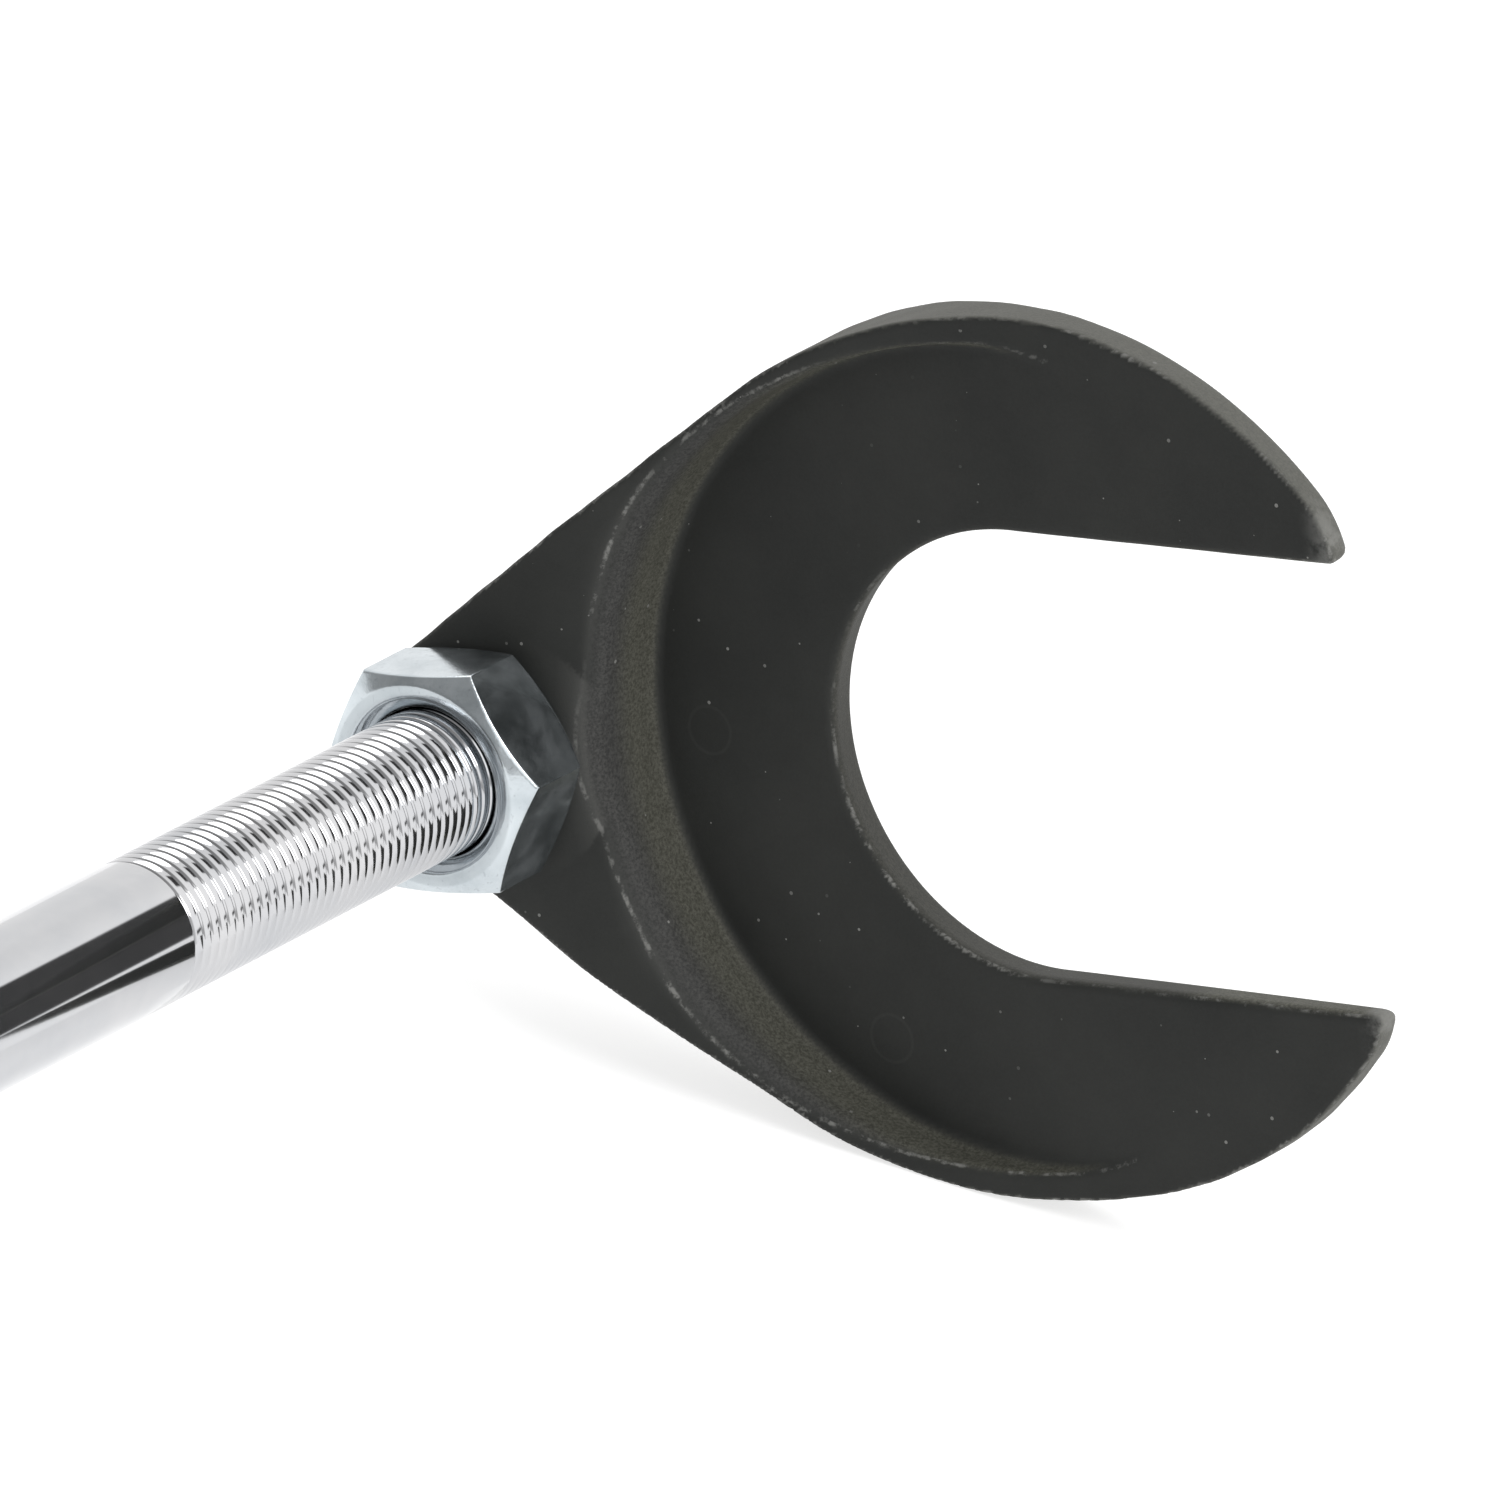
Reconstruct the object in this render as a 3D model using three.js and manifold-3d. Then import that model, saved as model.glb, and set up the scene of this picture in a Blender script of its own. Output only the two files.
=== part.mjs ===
// Slide-hammer joint separator: a U fork screwed and lock-nutted on a chromed rod, with a sliding
// hammer weight, an anvil that takes its blows, and a T handle with a sliding tommy bar.
// Millimetres, +Z up. +X runs along the rod towards the fork, -Y is the side of the fork's mouth.
// The origin is on the rod's axis, in the fork's flat back face. The tool lies on the hammer's two
// collars and on the fork's rim, so the fork is rolled a little about the rod.

import * as THREE from "three";
import { mergeVertices } from "three/addons/utils/BufferGeometryUtils.js";
import Module from "manifold-3d";

const wasm = await Module();
wasm.setup();

// ---- Driving dimensions ---------------------------------------------------------------------

const ROD_R = 8;
const FIT_GAP = 0.15;
const FACE_GAP = 0.05;
const END_GAP = 0.3;
const ROUND = 36;

// Fork, in its own frame: x towards the mouth, z from the flat back towards the rod.
const NECK_R = 13.6;
const NECK_DEPTH = 18.2;
const RING_X = 60.1;
const RING_R = 48.2;
const ARM_R = 50.6;
const SEAT_DEPTH = 5.3;
const POCKET_X = 58.2;
const POCKET_FOOT_R = 45;
const POCKET_TOP_R = 45.5;
const CREASE_X = 12.3;
const RAMP_END_X = 66.6;
const SLOT_X = 59.3;
const SLOT_R = 24.3;
const SLOT_SKEW = 0.022;
const TIP_X = 101.6;
const TIP_R = 1.8;
const TIP_DEPTH = 3.6;
const TAPER_START_X = 70;

const NUT_FLATS = 23.7;
const NUT_HEIGHT = 11.6;
const NUT_CHAMFER = 2;
const NUT_SINK = 1.5;
const NUT_FACE_INSET = 1;
const NUT_BACK_INSET = 1.7;
const NUT_TURN = -0.015;
const FRONT_THREAD = 83;

const HAMMER_R = 30;
const HAMMER_L = 130;
const HAMMER_FRONT = 215;
const COLLAR_L = 28;
const WAIST_R = 20;
const BORE_R = 8.6;
const BUSH_R = 11.5;
const BUSH_L = 16;
const BUSH_GAP = 0.06;
const CIRCLIP_L = 1.2;
const CIRCLIP_BAND = 2;
const CIRCLIP_OPENING = 5;
const CIRCLIP_INSET = 0.1;
const SLEEVE_R = 23.5;
const SLEEVE_RIBS = 5;
const SLEEVE_RIB_DEPTH = 1.5;
const SLEEVE_START = 34.6;

const ANVIL_FRONT = 462;
const ANVIL_R = 22;
const ANVIL_DISC_L = 14;
const ANVIL_BOSS_R = 14;
const ANVIL_BOSS_L = 10;
const ANVIL_SCREW_L = 5.2;
const SOCKET_R = 1.7;
const SOCKET_DEPTH = 2.4;
const WASHER_R = 12.6;
const WASHER_L = 3;
const WASHER_CUT = 1.6;

const HUB_R = 15;
const HUB_FRONT = 502;
const HUB_L = 70;
const ROD_L = 530;
const PIN_R = 2.5;
const PIN_WALL = 0.7;
const PIN_GAP = 0.05;
const BAR_R = 6;
const BAR_HALF = 75;
const BAR_X = 547;
const BAR_GROOVE_R = 5.4;
const CAP_R = 9;
const CAP_L = 15;
const CAP_WALL = 4;
const CAP_DOME = 6;
const CAP_SHANK_R = 4;
const RING_TUBE_R = 1.6;
const DETENT_R = 3;
const DETENT_SCREW_L = 3.8;
const SPRING_GAP = 0.1;
const SPRING_BAND = 0.8;

// The fork is rolled until its rim is as low as the hammer's collars.
const ROLL = Math.asin((RING_R - HAMMER_R) / RING_X);

// ---- Materials ------------------------------------------------------------------------------

function finish(color, roughness, metalness) {
  return new THREE.MeshStandardMaterial({ color, roughness, metalness });
}

const blackForging = finish(0x2f302e, 0.75, 0.35);
const chrome = finish(0xdfe2e4, 0.12, 1);
const zinc = finish(0xb9c2c8, 0.32, 0.9);
const blackOxide = finish(0x3a3b3d, 0.45, 0.7);
const springSteel = finish(0x6d6f72, 0.35, 0.9);
const rubber = finish(0x1d1d1e, 0.9, 0);
const bronze = finish(0xa77b45, 0.4, 0.9);

// ---- Solid helpers --------------------------------------------------------------------------

// A closed geometry as a manifold solid.
function solid(geometry) {
  const bare = geometry.clone();
  bare.deleteAttribute("normal");
  bare.deleteAttribute("uv");
  const merged = mergeVertices(bare, 1e-4);
  const triVerts = new Uint32Array(merged.index.array);
  const vertProperties = merged.attributes.position.array;
  return new wasm.Manifold(new wasm.Mesh({ numProp: 3, vertProperties, triVerts }));
}

// A manifold solid back as a geometry.
function geometryOf(manifold) {
  const { vertProperties, triVerts } = manifold.getMesh();
  const geometry = new THREE.BufferGeometry();
  geometry.setAttribute("position", new THREE.BufferAttribute(vertProperties, 3));
  geometry.setIndex(new THREE.BufferAttribute(triVerts, 1));
  geometry.computeVertexNormals();
  return geometry;
}

// A solid of revolution about X from [x, radius] pairs, which run towards +x on the outside.
function turned(profile, segments = ROUND) {
  const points = profile.map(([x, r]) => new THREE.Vector2(r, x));
  return new THREE.LatheGeometry(points, segments).rotateZ(-Math.PI / 2);
}

// A turned ring or tube: the outer profile, closed by a straight bore.
function turnedRing(outer, bore, segments = ROUND) {
  const first = [outer[0][0], bore];
  const last = [outer[outer.length - 1][0], bore];
  return turned([first, ...outer, last, first], segments);
}

// A plain cylinder along an axis of the frame, centred on a point.
function pin(axis, radius, length, centre, segments = 24) {
  const geometry = new THREE.CylinderGeometry(radius, radius, length, segments);
  if (axis === "x") geometry.rotateZ(-Math.PI / 2);
  if (axis === "z") geometry.rotateX(Math.PI / 2);
  return geometry.translate(...centre);
}

function part(name, geometry, material) {
  const mesh = new THREE.Mesh(geometry, material);
  mesh.name = name;
  return mesh;
}

// ---- Fork -----------------------------------------------------------------------------------

// The outer outline: a round neck, two flanks tangent to the ring, and arms closing to the tips.
function forkOutline() {
  const flank = Math.asin((RING_R - NECK_R) / RING_X);
  const shape = new THREE.Shape();
  shape.absarc(0, 0, NECK_R, Math.PI / 2 + flank, 1.5 * Math.PI - flank, false);
  shape.absarc(RING_X, 0, RING_R, 1.5 * Math.PI - flank, 1.5 * Math.PI, false);
  const tipAngle = Math.asin((TIP_X - TIP_R - RING_X) / (ARM_R - TIP_R));
  const armY = RING_R - ARM_R;
  const tipY = -(armY + (ARM_R - TIP_R) * Math.cos(tipAngle));
  shape.absarc(RING_X, -armY, ARM_R, 1.5 * Math.PI, 1.5 * Math.PI + tipAngle, false);
  shape.absarc(TIP_X - TIP_R, tipY, TIP_R, 1.5 * Math.PI + tipAngle, 2.5 * Math.PI, false);
  shape.lineTo(TIP_X - TIP_R, -tipY - TIP_R);
  shape.absarc(TIP_X - TIP_R, -tipY, TIP_R, 1.5 * Math.PI, 2.5 * Math.PI - tipAngle, false);
  shape.absarc(RING_X, armY, ARM_R, Math.PI / 2 - tipAngle, Math.PI / 2, false);
  shape.absarc(RING_X, 0, RING_R, Math.PI / 2, Math.PI / 2 + flank, false);
  shape.closePath();
  return shape;
}

// The U slot: a round end and straight sides, which lean a little to one side of the arms.
function slotOutline() {
  const beyond = TIP_X + 10;
  const lean = SLOT_SKEW * (beyond - SLOT_X);
  const shape = new THREE.Shape();
  shape.absarc(SLOT_X, 0, SLOT_R, Math.PI / 2, 1.5 * Math.PI, false);
  shape.lineTo(beyond, -SLOT_R - lean);
  shape.lineTo(beyond, SLOT_R - lean);
  shape.closePath();
  return shape;
}

// A prism across the fork, wide enough to cut it, from its side outline in x and z.
function crossCut(points) {
  const width = 4 * RING_R;
  const shape = new THREE.Shape(points.map(([x, z]) => new THREE.Vector2(x, z)));
  const prism = new THREE.ExtrudeGeometry(shape, { depth: width, bevelEnabled: false });
  return solid(prism.rotateX(Math.PI / 2).translate(0, width / 2, 0));
}

function forkGeometry() {
  const far = 2 * TIP_X;
  const high = 2 * NECK_DEPTH;
  const options = { bevelEnabled: false, curveSegments: 14 };
  const blank = solid(new THREE.ExtrudeGeometry(forkOutline(), { ...options, depth: NECK_DEPTH }));
  const above = crossCut([
    [CREASE_X, NECK_DEPTH], [RAMP_END_X, SEAT_DEPTH], [far, SEAT_DEPTH], [far, high], [CREASE_X, high],
  ]);
  const backTaper = crossCut([
    [TAPER_START_X, 0], [TAPER_START_X, -high], [far, -high], [far, 0], [TIP_X, SEAT_DEPTH - TIP_DEPTH],
  ]);
  const pocketHeight = NECK_DEPTH;
  const pocketSlope = (POCKET_TOP_R - POCKET_FOOT_R) / (NECK_DEPTH - SEAT_DEPTH);
  const pocketMouthR = POCKET_FOOT_R + pocketSlope * pocketHeight;
  const pocket = new THREE.CylinderGeometry(pocketMouthR, POCKET_FOOT_R, pocketHeight, 64);
  pocket.rotateX(Math.PI / 2).translate(POCKET_X, 0, SEAT_DEPTH + pocketHeight / 2);
  const slotPrism = new THREE.ExtrudeGeometry(slotOutline(), { ...options, depth: high });
  const slot = solid(slotPrism.translate(0, 0, -high / 4));
  const hole = solid(pin("z", ROD_R + FIT_GAP, high, [0, 0, NECK_DEPTH / 2], ROUND));
  let body = blank.subtract(above).subtract(backTaper);
  body = body.subtract(solid(pocket)).subtract(slot).subtract(hole);
  return geometryOf(body);
}

// ---- Nuts -----------------------------------------------------------------------------------

// A hexagon nut along X from x = 0, with chamfered corners and a bore countersunk at both ends.
function nutGeometry() {
  const corner = NUT_FLATS / Math.sqrt(3);
  const height = NUT_HEIGHT;
  const bore = ROD_R + FIT_GAP;
  const sunk = bore + NUT_SINK;
  const hexagon = new THREE.CylinderGeometry(corner, corner, height, 6).rotateZ(-Math.PI / 2);
  hexagon.translate(height / 2, 0, 0);
  const faceR = NUT_FLATS / 2 - NUT_FACE_INSET;
  const backR = NUT_FLATS / 2 - NUT_BACK_INSET;
  const spread = NUT_CHAMFER * Math.sqrt(3);
  const lens = [
    [0, sunk], [0, faceR], [NUT_CHAMFER, faceR + spread],
    [height - NUT_CHAMFER, backR + spread], [height, backR], [height, sunk],
    [height - NUT_SINK, bore], [NUT_SINK, bore], [0, sunk],
  ];
  return geometryOf(solid(hexagon).intersect(solid(turned(lens))));
}

// ---- Rod ------------------------------------------------------------------------------------

function rodGeometry() {
  const chamfer = 1.2;
  const beyondAnvil = 4;
  const rearThread = ROD_L - ANVIL_FRONT + beyondAnvil;
  const relief = 0.25;
  const r = ROD_R;
  return turned([
    [-ROD_L, 0], [-ROD_L, r - chamfer], [-ROD_L + chamfer, r - relief],
    [-ROD_L + rearThread, r - relief], [-ROD_L + rearThread + relief, r],
    [-FRONT_THREAD - relief, r], [-FRONT_THREAD, r - relief / 2],
    [-chamfer, r - relief / 2], [0, r - chamfer], [0, 0],
  ]);
}

// ---- Hammer ---------------------------------------------------------------------------------

// The weight: two collars and a waist with soft shoulders, bored for the bushes at both ends.
function hammerGeometry() {
  const edge = 2.5;
  const shoulder = 6;
  const shoulderR = WAIST_R + 2;
  const pocketL = BUSH_L + CIRCLIP_L + 2 * END_GAP;
  const front = [
    [0, HAMMER_R - edge], [edge, HAMMER_R], [COLLAR_L - edge, HAMMER_R], [COLLAR_L, HAMMER_R - edge],
    [COLLAR_L + shoulder / 2, shoulderR], [COLLAR_L + shoulder, WAIST_R],
  ];
  const rear = front.map(([x, r]) => [HAMMER_L - x, r]).reverse();
  const bore = [
    [HAMMER_L, BUSH_R], [HAMMER_L - pocketL, BUSH_R], [HAMMER_L - pocketL, BORE_R],
    [pocketL, BORE_R], [pocketL, BUSH_R], [0, BUSH_R],
  ];
  const profile = [...front, ...rear, ...bore];
  return turned([...profile, profile[0]]);
}

// The rubber hand sleeve on the waist, with finger ribs.
function sleeveGeometry() {
  const step = (HAMMER_L - 2 * SLEEVE_START) / SLEEVE_RIBS;
  const valleyR = SLEEVE_R - SLEEVE_RIB_DEPTH;
  const outer = [[SLEEVE_START, valleyR]];
  for (let i = 0; i < SLEEVE_RIBS; i += 1) {
    const start = SLEEVE_START + i * step;
    outer.push([start + step / 4, SLEEVE_R]);
    outer.push([start + (3 * step) / 4, SLEEVE_R]);
    outer.push([start + step, valleyR]);
  }
  return turnedRing(outer, WAIST_R + FIT_GAP);
}

// A guide bush along X from x = 0, which runs on the rod.
function bushGeometry() {
  const outerR = BUSH_R - FIT_GAP;
  return turnedRing([[0, outerR], [BUSH_L, outerR]], ROD_R + BUSH_GAP);
}

// An internal circlip: a flat ring with a gap.
function circlipGeometry() {
  const outerR = BUSH_R - FIT_GAP;
  const ring = turnedRing([[0, outerR], [CIRCLIP_L, outerR]], BUSH_R - CIRCLIP_BAND);
  const gap = new THREE.BoxGeometry(4 * CIRCLIP_L, CIRCLIP_OPENING, BUSH_R).translate(0, 0, BUSH_R);
  return geometryOf(solid(ring).subtract(solid(gap)));
}

// ---- Anvil and its fasteners ----------------------------------------------------------------

// The anvil: an impact disc towards the hammer and a boss behind it, tapped across for a grub screw.
function anvilGeometry() {
  const edge = 1.5;
  const length = ANVIL_DISC_L + ANVIL_BOSS_L;
  const outer = [
    [0, ANVIL_BOSS_R - 1], [1, ANVIL_BOSS_R], [ANVIL_BOSS_L, ANVIL_BOSS_R],
    [ANVIL_BOSS_L, ANVIL_R - edge], [ANVIL_BOSS_L + edge, ANVIL_R],
    [length - edge, ANVIL_R], [length, ANVIL_R - edge],
  ];
  const body = solid(turnedRing(outer, ROD_R + FIT_GAP));
  const tapping = solid(pin("z", DETENT_R, ANVIL_BOSS_R, [ANVIL_BOSS_L / 2, 0, ANVIL_BOSS_R]));
  return geometryOf(body.subtract(tapping));
}

// A grub screw along X from x = 0, with a hexagon socket in its far end.
function grubScrewGeometry(length) {
  const r = DETENT_R - FIT_GAP;
  const edge = 0.5;
  const profile = [[0, 0], [0, r - edge], [edge, r], [length - edge, r], [length, r - edge], [length, 0]];
  const body = solid(turned(profile, 24));
  const socket = new THREE.CylinderGeometry(SOCKET_R, SOCKET_R, 2 * SOCKET_DEPTH, 6).rotateZ(-Math.PI / 2);
  return geometryOf(body.subtract(solid(socket.translate(length, 0, 0))));
}

// A split spring washer: a square-section ring with a slanting cut.
function springWasherGeometry() {
  const ring = turnedRing([[0, WASHER_R], [WASHER_L, WASHER_R]], ROD_R + FIT_GAP);
  const cut = new THREE.BoxGeometry(4 * WASHER_L, WASHER_CUT, WASHER_R).rotateZ(Math.PI / 5);
  cut.translate(WASHER_L / 2, 0, WASHER_R);
  return geometryOf(solid(ring).subtract(solid(cut)));
}

// ---- Handle ---------------------------------------------------------------------------------

// How deep the rod goes into the hub.
const rodDepth = ROD_L - HUB_FRONT + END_GAP;

// The hub, along X from x = 0 at its rear end: a blind bore for the rod, a cross hole for the bar,
// a cross hole for the roll pin, and a tapped hole in the rear for the detent.
function hubGeometry() {
  const edge = 2;
  const rearEdge = 3;
  const barX = HUB_FRONT + HUB_L - BAR_X;
  const pinX = HUB_L - rodDepth / 2;
  const bore = ROD_R + FIT_GAP;
  const profile = [
    [0, 0], [0, HUB_R - rearEdge], [rearEdge, HUB_R], [HUB_L - edge, HUB_R], [HUB_L, HUB_R - edge],
    [HUB_L, bore], [HUB_L - rodDepth, bore], [HUB_L - rodDepth, 0],
  ];
  let body = solid(turned(profile));
  body = body.subtract(solid(pin("y", BAR_R + FIT_GAP, 3 * HUB_R, [barX, 0, 0])));
  body = body.subtract(solid(pin("z", PIN_R + PIN_GAP, 3 * HUB_R, [pinX, 0, 0])));
  body = body.subtract(solid(pin("x", DETENT_R, 2 * barX, [0, 0, 0])));
  return geometryOf(body);
}

// The rod's rear end is drilled for the roll pin.
function drilledRod() {
  const pinX = -HUB_FRONT - rodDepth / 2;
  const drill = solid(pin("z", PIN_R + PIN_GAP, 3 * ROD_R, [pinX, 0, 0]));
  return geometryOf(solid(rodGeometry()).subtract(drill));
}

// A rolled spring pin along Z: a tube with a slit.
function rollPinGeometry() {
  const length = 2 * HUB_R - 1;
  const endR = PIN_R - 0.4;
  const lead = 0.6;
  const outer = [[0, endR], [lead, PIN_R], [length - lead, PIN_R], [length, endR]];
  const tube = turnedRing(outer, PIN_R - PIN_WALL, 24);
  const slit = new THREE.BoxGeometry(3 * length, PIN_WALL, PIN_R).translate(0, 0, PIN_R);
  const body = geometryOf(solid(tube).subtract(solid(slit)));
  return body.translate(-length / 2, 0, 0).rotateY(-Math.PI / 2);
}

// The tommy bar along Y: thinner ends for the caps and a shallow round groove in the middle.
function barGeometry() {
  const groove = 1.6;
  const shankStart = BAR_HALF - CAP_L + CAP_WALL;
  const half = [
    [0, BAR_GROOVE_R], [groove, BAR_R], [shankStart, BAR_R],
    [shankStart, CAP_SHANK_R], [BAR_HALF, CAP_SHANK_R],
  ];
  const left = half.slice(1).map(([x, r]) => [-x, r]).reverse();
  const profile = [[-BAR_HALF, 0], ...left, ...half, [BAR_HALF, 0]];
  return turned(profile, 32).rotateZ(Math.PI / 2);
}

// A domed end cap towards +Y, from y = 0 at its open face.
function capGeometry() {
  const depth = CAP_L - CAP_WALL + END_GAP;
  const bore = CAP_SHANK_R + FIT_GAP;
  const domeStart = CAP_L - CAP_DOME;
  const profile = [[0, bore], [0, CAP_R - 1], [1, CAP_R], [domeStart, CAP_R]];
  const arcSteps = 4;
  const fullness = 0.7;
  for (let i = 1; i < arcSteps; i += 1) {
    const angle = (i / arcSteps) * (Math.PI / 2);
    profile.push([domeStart + CAP_DOME * Math.sin(angle), CAP_R * Math.cos(angle) ** fullness]);
  }
  profile.push([CAP_L, 0], [depth, 0], [depth, bore], [0, bore]);
  return turned(profile, 28).rotateZ(Math.PI / 2);
}

// An O-ring round the bar, which softens the cap's knock on the hub.
function barRingGeometry() {
  const centreR = BAR_R + RING_TUBE_R + FACE_GAP;
  return new THREE.TorusGeometry(centreR, RING_TUBE_R, 8, 24).rotateX(Math.PI / 2);
}

// The detent spring's envelope along X from x = 0: the tube that its coils fill.
function springGeometry(length) {
  const outerR = DETENT_R - END_GAP;
  return turnedRing([[0, outerR], [length, outerR]], outerR - SPRING_BAND, 18);
}

// ---- Assembly -------------------------------------------------------------------------------

const tool = new THREE.Group();

// The fork and the lock nut share the roll; the fork's own z runs back along the rod.
const towardsMouth = new THREE.Vector3(0, -Math.cos(ROLL), Math.sin(ROLL));
const acrossFork = new THREE.Vector3(0, Math.sin(ROLL), Math.cos(ROLL));
const backAlongRod = new THREE.Vector3(-1, 0, 0);
const forkFrame = new THREE.Group();
forkFrame.quaternion.setFromRotationMatrix(
  new THREE.Matrix4().makeBasis(towardsMouth, acrossFork, backAlongRod),
);
forkFrame.add(part("fork", forkGeometry(), blackForging));
tool.add(forkFrame);

const lockNut = part("lock_nut", nutGeometry(), zinc);
lockNut.position.x = -NECK_DEPTH - FACE_GAP - NUT_HEIGHT;
lockNut.rotation.x = Math.PI / 2 - ROLL + NUT_TURN;
tool.add(lockNut);

tool.add(part("rod", drilledRod(), chrome));

// The hammer's group starts at its rear end and runs towards the fork.
const hammer = new THREE.Group();
hammer.position.x = -HAMMER_FRONT - HAMMER_L;
hammer.add(part("hammer_weight", hammerGeometry(), blackOxide));
hammer.add(part("hammer_sleeve", sleeveGeometry(), rubber));
const bushInset = CIRCLIP_L + END_GAP;
for (const [side, bushX, clipX] of [
  ["rear", bushInset, CIRCLIP_INSET],
  ["front", HAMMER_L - bushInset - BUSH_L, HAMMER_L - CIRCLIP_L - CIRCLIP_INSET],
]) {
  const bush = part(`${side}_guide_bush`, bushGeometry(), bronze);
  bush.position.x = bushX;
  const clip = part(`${side}_circlip`, circlipGeometry(), springSteel);
  clip.position.x = clipX;
  hammer.add(bush, clip);
}
tool.add(hammer);

// The anvil, its grub screw, the spring washer and the rear nut follow each other down the rod.
const anvilLength = ANVIL_DISC_L + ANVIL_BOSS_L;
const anvil = part("anvil", anvilGeometry(), blackOxide);
anvil.position.x = -ANVIL_FRONT - anvilLength;
const anvilScrew = part("anvil_grub_screw", grubScrewGeometry(ANVIL_SCREW_L), blackOxide);
anvilScrew.rotation.y = -Math.PI / 2;
anvilScrew.position.set(anvil.position.x + ANVIL_BOSS_L / 2, 0, ROD_R + FIT_GAP + FACE_GAP);
const washer = part("anvil_spring_washer", springWasherGeometry(), springSteel);
washer.position.x = anvil.position.x - FACE_GAP - WASHER_L;
const rearNut = part("rear_nut", nutGeometry(), zinc);
rearNut.position.x = washer.position.x - FACE_GAP - NUT_HEIGHT;
tool.add(anvil, anvilScrew, washer, rearNut);

// The handle: hub, roll pin, detent, and the bar with its caps and rings.
const hubRear = -HUB_FRONT - HUB_L;
const hub = part("handle_hub", hubGeometry(), blackOxide);
hub.position.x = hubRear;
const rollPin = part("hub_roll_pin", rollPinGeometry(), springSteel);
rollPin.position.set(-HUB_FRONT - rodDepth / 2, 0, 0);
const ball = part("detent_ball", new THREE.SphereGeometry(DETENT_R - FIT_GAP, 14, 8), springSteel);
ball.position.x = -BAR_X - BAR_R - DETENT_R;
const plug = part("detent_screw", grubScrewGeometry(DETENT_SCREW_L), blackOxide);
plug.rotation.z = Math.PI;
plug.position.x = hubRear + DETENT_SCREW_L + FACE_GAP;
const springStart = plug.position.x + SPRING_GAP;
const springLength = ball.position.x - DETENT_R - SPRING_GAP - springStart;
const spring = part("detent_spring", springGeometry(springLength), springSteel);
spring.position.x = springStart;
tool.add(hub, rollPin, ball, spring, plug);

const bar = new THREE.Group();
bar.position.x = -BAR_X;
bar.add(part("tommy_bar", barGeometry(), chrome));
const capInner = BAR_HALF - CAP_L + CAP_WALL + FACE_GAP;
for (const [side, sign] of [["left", 1], ["right", -1]]) {
  const end = new THREE.Group();
  end.rotation.z = sign > 0 ? 0 : Math.PI;
  const cap = part(`bar_cap_${side}`, capGeometry(), blackOxide);
  cap.position.y = capInner;
  const ring = part(`bar_ring_${side}`, barRingGeometry(), rubber);
  ring.position.y = capInner - RING_TUBE_R - 2 * FACE_GAP;
  end.add(cap, ring);
  bar.add(end);
}
tool.add(bar);

export default tool;
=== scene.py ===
"""Looks of the slide-hammer joint separator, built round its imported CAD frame.

The fork, nuts, screws, anvil and hub are drawn as signed distance fields, so that every forged
radius and turned edge is real geometry. The rod carries helical threads. Shapes and placements are
in millimetres and turn into metres as a mesh is made or placed; materials and the studio's lights
and camera are in metres.
"""

import math

import bmesh
import bpy
import numpy as np
from mathutils import Matrix, Vector


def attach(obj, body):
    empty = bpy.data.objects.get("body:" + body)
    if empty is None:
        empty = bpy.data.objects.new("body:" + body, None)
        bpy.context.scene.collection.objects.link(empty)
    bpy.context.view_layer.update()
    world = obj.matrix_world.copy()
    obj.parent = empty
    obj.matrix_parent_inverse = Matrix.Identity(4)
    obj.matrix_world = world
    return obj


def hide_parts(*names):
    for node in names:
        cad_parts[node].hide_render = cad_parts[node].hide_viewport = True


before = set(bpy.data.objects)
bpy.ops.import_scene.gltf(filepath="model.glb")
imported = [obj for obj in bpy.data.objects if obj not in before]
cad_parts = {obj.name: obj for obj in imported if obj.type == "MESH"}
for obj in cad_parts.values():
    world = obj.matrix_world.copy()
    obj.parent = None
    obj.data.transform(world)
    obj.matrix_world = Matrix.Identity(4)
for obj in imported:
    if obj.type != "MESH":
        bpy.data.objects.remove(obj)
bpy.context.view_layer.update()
MM = 0.001

# ---- Dimensions, in millimetres --------------------------------------------------------------
#
# Most are the CAD model's. The slot's rake, the dish in the rim's face and the soft end of its
# ridge are only in the looks, and the sleeve's ribs are 0.1 mm deeper here.

ROD_R = 8.0
ROD_L = 530.0
ROD_CHAMFER = 1.2
PITCH = 1.5
FRONT_THREAD = 83.0
REAR_THREAD = 458.0
FIT_GAP = 0.15
FACE_GAP = 0.05

NECK_DEPTH = 18.2
NECK_R = 13.6
RING_X = 60.1
RING_R = 48.2
ARM_R = 50.6
SEAT = 5.3
POCKET_X = 58.2
POCKET_R = 45.0
POCKET_DRAFT = 0.04
CREASE_X = 12.3
RAMP_END_X = 66.6
SLOT_X = 59.3
SLOT_R = 24.3
SLOT_SKEW = 0.022
SLOT_RAKE = 0.15
SLOT_DRAFT = 0.08
DISH = 2.6
DISH_SLOPE = 0.3
NUT_SEAT_R = 10.6
SOFT_RIDGE_X = 50.0
TIP_X = 101.6
TIP_DEPTH = 3.6
TAPER_X = 70.0

NUT_FLATS = 23.7
NUT_HEIGHT = 11.6
NUT_TURN = -0.015
NUT_FRONT_INSET = 1.0
NUT_BACK_INSET = 1.7
NUT_SINK = 1.5

HAMMER_R = 30.0
HAMMER_L = 130.0
HAMMER_REAR = -345.0
COLLAR_L = 28.0
WAIST_R = 20.0
SLEEVE_R = 23.5
SLEEVE_START = 34.6
SLEEVE_RIB = 1.6
SLEEVE_RIBS = 5
POCKET_L = 17.8
BORE_R = 8.6
BUSH_R = 11.5
BUSH_BORE_R = 8.06
BUSH_L = 16.0
BUSH_INSET = 1.5
CIRCLIP_R = 9.5
CIRCLIP_L = 1.2
CIRCLIP_INSET = 0.1

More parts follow.
